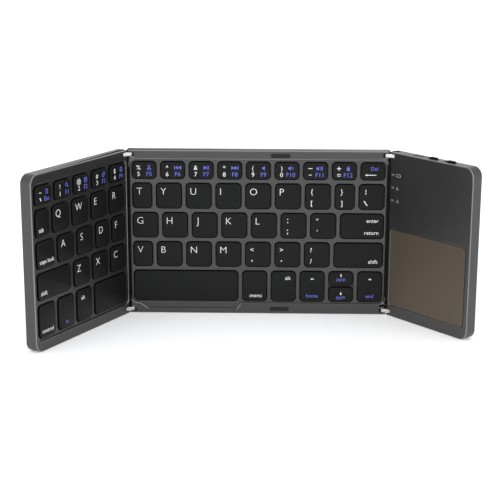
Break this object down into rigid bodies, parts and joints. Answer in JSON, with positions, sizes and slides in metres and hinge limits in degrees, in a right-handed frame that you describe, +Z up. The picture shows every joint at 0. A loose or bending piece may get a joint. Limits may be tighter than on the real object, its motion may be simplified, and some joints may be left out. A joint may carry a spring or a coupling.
{
  "type": "folding keyboard",
  "caption": "Slim tri-fold travel keyboard with a wing of keys, a centre panel and a touchpad wing on double-pivot links, standing half open on its front edge.",
  "frame": {"origin": "middle of the centre panel's standing (front) edge, at half its thickness", "axes": "+Z up the depth of the keyboard, from its front edge to its rear edge; -Y out of the centre panel's key face; +X towards the touchpad wing"},
  "size_m": [0.2464, 0.0843, 0.0989],
  "materials": {
    "frame_shell": "fine matt metallic paint, dark grey",
    "back_cover": "matt",
    "screw_steel": "turned",
    "link_chrome": "satin plated",
    "rubber_pad": "matt",
    "key_base_plate": "plain sheet",
    "membrane_rubber": "translucent grey",
    "touch_surface": "satin, brown grey",
    "circuit_board": "solder mask",
    "battery_foil": "pouch foil",
    "socket_steel": "plated sheet",
    "light_pipe": "clear, faint blue",
    "knob_plastic": "moulded",
    "flex_film": "film",
    "keycap": "fine matt, pale legends"
  },
  "bodies": {
    "centre_panel": {"centre_top_frame": "frame_shell", "centre_bottom_cover": "back_cover", "centre_hinge_screws": "screw_steel", "centre_feet_and_bumpers": "rubber_pad", "centre_key_base": "key_base_plate", "centre_switch_membrane": "membrane_rubber"},
    "left_links": {"left_fold_links": "link_chrome", "left_fold_pins": "screw_steel", "left_fold_flex": "flex_film"},
    "left_wing": {"left_top_frame": "frame_shell", "left_bottom_cover": "back_cover", "left_hinge_screws": "screw_steel", "left_feet": "rubber_pad", "left_key_base": "key_base_plate", "left_switch_membrane": "membrane_rubber"},
    "right_links": {"right_fold_links": "link_chrome", "right_fold_pins": "screw_steel", "right_fold_flex": "flex_film"},
    "right_wing": {"right_top_frame": "frame_shell", "right_bottom_cover": "back_cover", "right_hinge_screws": "screw_steel", "right_feet": "rubber_pad", "touchpad": "touch_surface", "main_circuit_board": "circuit_board", "battery": "battery_foil", "charging_socket": "socket_steel", "indicator_lights": "light_pipe"},
    "power_knob": {"power_switch": "knob_plastic"},
    "mode_knob": {"mode_switch": "knob_plastic"},
    "key_a_body": {"key_a": "keycap"},
    "key_c_body": {"key_c": "keycap"},
    "key_d_body": {"key_d": "keycap"},
    "key_e_body": {"key_e": "keycap"},
    "key_f_body": {"key_f": "keycap"},
    "key_q_body": {"key_q": "keycap"},
    "key_r_body": {"key_r": "keycap"},
    "key_s_body": {"key_s": "keycap"},
    "key_w_body": {"key_w": "keycap"},
    "key_x_body": {"key_x": "keycap"},
    "key_z_body": {"key_z": "keycap"},
    "space_bar_left_body": {"space_bar_left": "keycap"},
    "left_number_and_modifier_keys_body": {"left_number_and_modifier_keys": "keycap"},
    "key_b_body": {"key_b": "keycap"},
    "key_g_body": {"key_g": "keycap"},
    "key_h_body": {"key_h": "keycap"},
    "key_i_body": {"key_i": "keycap"},
    "key_j_body": {"key_j": "keycap"},
    "key_k_body": {"key_k": "keycap"},
    "key_l_body": {"key_l": "keycap"},
    "key_m_body": {"key_m": "keycap"},
    "key_n_body": {"key_n": "keycap"},
    "key_o_body": {"key_o": "keycap"},
    "key_p_body": {"key_p": "keycap"},
    "key_t_body": {"key_t": "keycap"},
    "key_u_body": {"key_u": "keycap"},
    "key_v_body": {"key_v": "keycap"},
    "key_y_body": {"key_y": "keycap"},
    "space_bar_centre_body": {"space_bar_centre": "keycap"},
    "centre_number_keys_body": {"centre_number_keys": "keycap"},
    "punctuation_and_command_keys_body": {"punctuation_and_command_keys": "keycap"}
  },
  "joints": [
    {"name": "left_link_fold", "type": "hinge", "parent": "centre_panel", "child": "left_links", "pos_m": [-0.07415, -0.0019, 0], "axis": [0, 0, 1], "range_deg": [-30.45, 59.55], "deforming": ["left_fold_flex"]},
    {"name": "left_wing_fold", "type": "hinge", "parent": "left_links", "child": "left_wing", "pos_m": [-0.07777, -0.00403, 0], "axis": [0, 0, 1], "range_deg": [-30.45, 59.55], "deforming": ["left_fold_flex"]},
    {"name": "right_link_fold", "type": "hinge", "parent": "centre_panel", "child": "right_links", "pos_m": [0.07415, -0.0019, 0], "axis": [0, 0, -1], "range_deg": [-24.9, 65.1], "deforming": ["right_fold_flex"]},
    {"name": "right_wing_fold", "type": "hinge", "parent": "right_links", "child": "right_wing", "pos_m": [0.07796, -0.00367, 0], "axis": [0, 0, -1], "range_deg": [-24.9, 65.1], "deforming": ["right_fold_flex"]},
    {"name": "key_a_press", "type": "slide", "parent": "left_wing", "child": "key_a_body", "axis": [-0.8738, 0.4863, 0], "range_m": [0, 0.0016], "stiffness_N_per_m": 250, "springref_m": -0.0006, "deforming": ["left_switch_membrane"]},
    {"name": "key_c_press", "type": "slide", "parent": "left_wing", "child": "key_c_body", "axis": [-0.8738, 0.4863, 0], "range_m": [0, 0.0016], "stiffness_N_per_m": 250, "springref_m": -0.0006, "deforming": ["left_switch_membrane"]},
    {"name": "key_d_press", "type": "slide", "parent": "left_wing", "child": "key_d_body", "axis": [-0.8738, 0.4863, 0], "range_m": [0, 0.0016], "stiffness_N_per_m": 250, "springref_m": -0.0006, "deforming": ["left_switch_membrane"]},
    {"name": "key_e_press", "type": "slide", "parent": "left_wing", "child": "key_e_body", "axis": [-0.8738, 0.4863, 0], "range_m": [0, 0.0016], "stiffness_N_per_m": 250, "springref_m": -0.0006, "deforming": ["left_switch_membrane"]},
    {"name": "key_f_press", "type": "slide", "parent": "left_wing", "child": "key_f_body", "axis": [-0.8738, 0.4863, 0], "range_m": [0, 0.0016], "stiffness_N_per_m": 250, "springref_m": -0.0006, "deforming": ["left_switch_membrane"]},
    {"name": "key_q_press", "type": "slide", "parent": "left_wing", "child": "key_q_body", "axis": [-0.8738, 0.4863, 0], "range_m": [0, 0.0016], "stiffness_N_per_m": 250, "springref_m": -0.0006, "deforming": ["left_switch_membrane"]},
    {"name": "key_r_press", "type": "slide", "parent": "left_wing", "child": "key_r_body", "axis": [-0.8738, 0.4863, 0], "range_m": [0, 0.0016], "stiffness_N_per_m": 250, "springref_m": -0.0006, "deforming": ["left_switch_membrane"]},
    {"name": "key_s_press", "type": "slide", "parent": "left_wing", "child": "key_s_body", "axis": [-0.8738, 0.4863, 0], "range_m": [0, 0.0016], "stiffness_N_per_m": 250, "springref_m": -0.0006, "deforming": ["left_switch_membrane"]},
    {"name": "key_w_press", "type": "slide", "parent": "left_wing", "child": "key_w_body", "axis": [-0.8738, 0.4863, 0], "range_m": [0, 0.0016], "stiffness_N_per_m": 250, "springref_m": -0.0006, "deforming": ["left_switch_membrane"]},
    {"name": "key_x_press", "type": "slide", "parent": "left_wing", "child": "key_x_body", "axis": [-0.8738, 0.4863, 0], "range_m": [0, 0.0016], "stiffness_N_per_m": 250, "springref_m": -0.0006, "deforming": ["left_switch_membrane"]},
    {"name": "key_z_press", "type": "slide", "parent": "left_wing", "child": "key_z_body", "axis": [-0.8738, 0.4863, 0], "range_m": [0, 0.0016], "stiffness_N_per_m": 250, "springref_m": -0.0006, "deforming": ["left_switch_membrane"]},
    {"name": "space_bar_left_press", "type": "slide", "parent": "left_wing", "child": "space_bar_left_body", "axis": [-0.8738, 0.4863, 0], "range_m": [0, 0.0016], "stiffness_N_per_m": 250, "springref_m": -0.0006, "deforming": ["left_switch_membrane"]},
    {"name": "left_number_and_modifier_keys_press", "type": "slide", "parent": "left_wing", "child": "left_number_and_modifier_keys_body", "axis": [-0.8738, 0.4863, 0], "range_m": [0, 0.0016], "stiffness_N_per_m": 2750, "springref_m": -0.0006, "deforming": ["left_switch_membrane"]},
    {"name": "key_b_press", "type": "slide", "parent": "centre_panel", "child": "key_b_body", "axis": [0, 1, 0], "range_m": [0, 0.0016], "stiffness_N_per_m": 250, "springref_m": -0.0006, "deforming": ["centre_switch_membrane"]},
    {"name": "key_g_press", "type": "slide", "parent": "centre_panel", "child": "key_g_body", "axis": [0, 1, 0], "range_m": [0, 0.0016], "stiffness_N_per_m": 250, "springref_m": -0.0006, "deforming": ["centre_switch_membrane"]},
    {"name": "key_h_press", "type": "slide", "parent": "centre_panel", "child": "key_h_body", "axis": [0, 1, 0], "range_m": [0, 0.0016], "stiffness_N_per_m": 250, "springref_m": -0.0006, "deforming": ["centre_switch_membrane"]},
    {"name": "key_i_press", "type": "slide", "parent": "centre_panel", "child": "key_i_body", "axis": [0, 1, 0], "range_m": [0, 0.0016], "stiffness_N_per_m": 250, "springref_m": -0.0006, "deforming": ["centre_switch_membrane"]},
    {"name": "key_j_press", "type": "slide", "parent": "centre_panel", "child": "key_j_body", "axis": [0, 1, 0], "range_m": [0, 0.0016], "stiffness_N_per_m": 250, "springref_m": -0.0006, "deforming": ["centre_switch_membrane"]},
    {"name": "key_k_press", "type": "slide", "parent": "centre_panel", "child": "key_k_body", "axis": [0, 1, 0], "range_m": [0, 0.0016], "stiffness_N_per_m": 250, "springref_m": -0.0006, "deforming": ["centre_switch_membrane"]},
    {"name": "key_l_press", "type": "slide", "parent": "centre_panel", "child": "key_l_body", "axis": [0, 1, 0], "range_m": [0, 0.0016], "stiffness_N_per_m": 250, "springref_m": -0.0006, "deforming": ["centre_switch_membrane"]},
    {"name": "key_m_press", "type": "slide", "parent": "centre_panel", "child": "key_m_body", "axis": [0, 1, 0], "range_m": [0, 0.0016], "stiffness_N_per_m": 250, "springref_m": -0.0006, "deforming": ["centre_switch_membrane"]},
    {"name": "key_n_press", "type": "slide", "parent": "centre_panel", "child": "key_n_body", "axis": [0, 1, 0], "range_m": [0, 0.0016], "stiffness_N_per_m": 250, "springref_m": -0.0006, "deforming": ["centre_switch_membrane"]},
    {"name": "key_o_press", "type": "slide", "parent": "centre_panel", "child": "key_o_body", "axis": [0, 1, 0], "range_m": [0, 0.0016], "stiffness_N_per_m": 250, "springref_m": -0.0006, "deforming": ["centre_switch_membrane"]},
    {"name": "key_p_press", "type": "slide", "parent": "centre_panel", "child": "key_p_body", "axis": [0, 1, 0], "range_m": [0, 0.0016], "stiffness_N_per_m": 250, "springref_m": -0.0006, "deforming": ["centre_switch_membrane"]},
    {"name": "key_t_press", "type": "slide", "parent": "centre_panel", "child": "key_t_body", "axis": [0, 1, 0], "range_m": [0, 0.0016], "stiffness_N_per_m": 250, "springref_m": -0.0006, "deforming": ["centre_switch_membrane"]},
    {"name": "key_u_press", "type": "slide", "parent": "centre_panel", "child": "key_u_body", "axis": [0, 1, 0], "range_m": [0, 0.0016], "stiffness_N_per_m": 250, "springref_m": -0.0006, "deforming": ["centre_switch_membrane"]},
    {"name": "key_v_press", "type": "slide", "parent": "centre_panel", "child": "key_v_body", "axis": [0, 1, 0], "range_m": [0, 0.0016], "stiffness_N_per_m": 250, "springref_m": -0.0006, "deforming": ["centre_switch_membrane"]},
    {"name": "key_y_press", "type": "slide", "parent": "centre_panel", "child": "key_y_body", "axis": [0, 1, 0], "range_m": [0, 0.0016], "stiffness_N_per_m": 250, "springref_m": -0.0006, "deforming": ["centre_switch_membrane"]},
    {"name": "space_bar_centre_press", "type": "slide", "parent": "centre_panel", "child": "space_bar_centre_body", "axis": [0, 1, 0], "range_m": [0, 0.0016], "stiffness_N_per_m": 250, "springref_m": -0.0006, "deforming": ["centre_switch_membrane"]},
    {"name": "centre_number_keys_press", "type": "slide", "parent": "centre_panel", "child": "centre_number_keys_body", "axis": [0, 1, 0], "range_m": [0, 0.0016], "stiffness_N_per_m": 2000, "springref_m": -0.0006, "deforming": ["centre_switch_membrane"]},
    {"name": "punctuation_and_command_keys_press", "type": "slide", "parent": "centre_panel", "child": "punctuation_and_command_keys_body", "axis": [0, 1, 0], "range_m": [0, 0.0016], "stiffness_N_per_m": 4250, "springref_m": -0.0006, "deforming": ["centre_switch_membrane"]},
    {"name": "power_switch_slide", "type": "slide", "parent": "right_wing", "child": "power_knob", "axis": [-0.6455, 0.7638, 0], "range_m": [0, 0.0026]},
    {"name": "mode_switch_slide", "type": "slide", "parent": "right_wing", "child": "mode_knob", "axis": [-0.6455, 0.7638, 0], "range_m": [0, 0.0026]}
  ]
}
